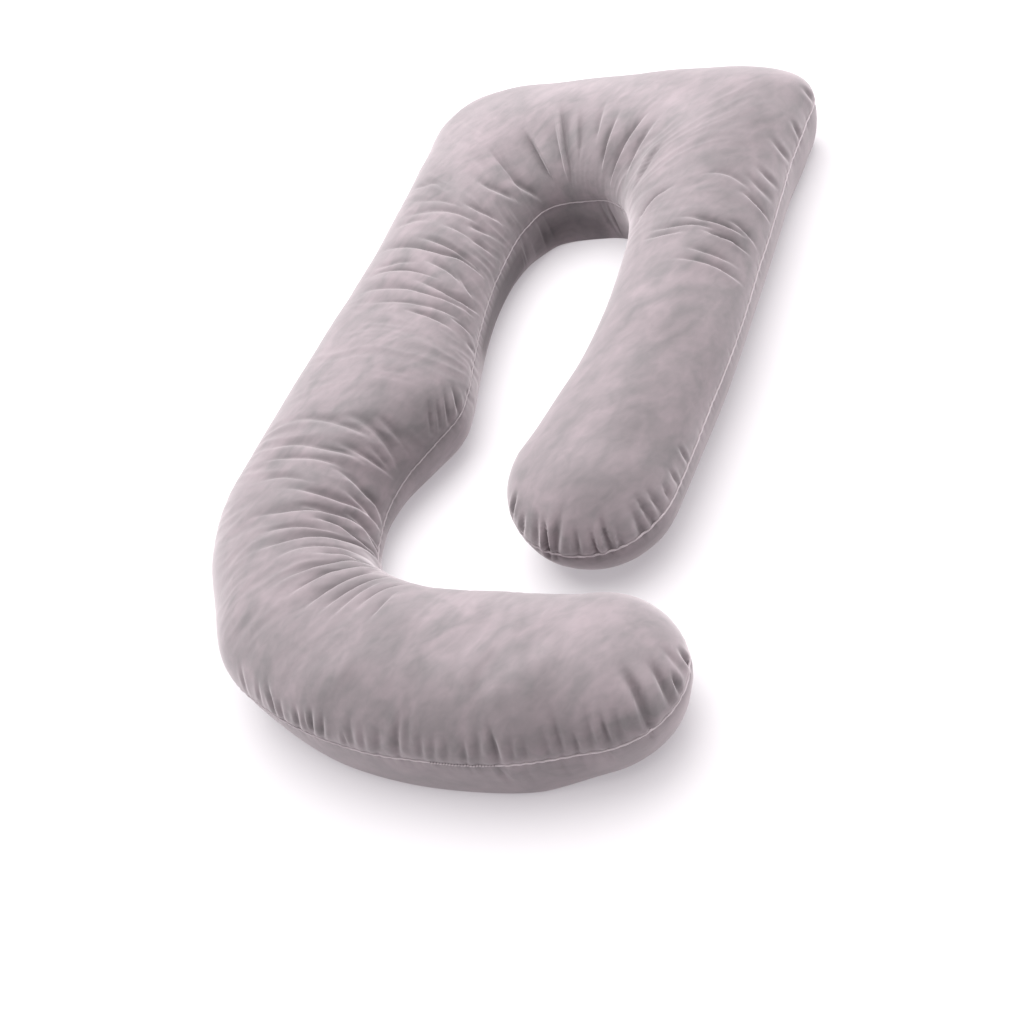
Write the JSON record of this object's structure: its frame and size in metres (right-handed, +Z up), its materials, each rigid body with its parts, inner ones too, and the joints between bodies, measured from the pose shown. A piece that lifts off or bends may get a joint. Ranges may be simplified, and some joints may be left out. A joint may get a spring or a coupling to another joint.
{
  "type": "full-body pillow",
  "caption": "G-shaped full-body pillow in mauve grey velvet, filled, with a sewn seam round its rim; lies flat to support head, back and legs.",
  "frame": {"origin": "on the floor, under the middle of the pillow's box", "axes": "+Y along the pillow's length towards the head end, +X towards the short arm, +Z up"},
  "size_m": [0.8674, 1.4414, 0.1963],
  "materials": {
    "velvet": "short pile velvet"
  },
  "bodies": {
    "root": {"filled_cover": "velvet"}
  },
  "joints": []
}
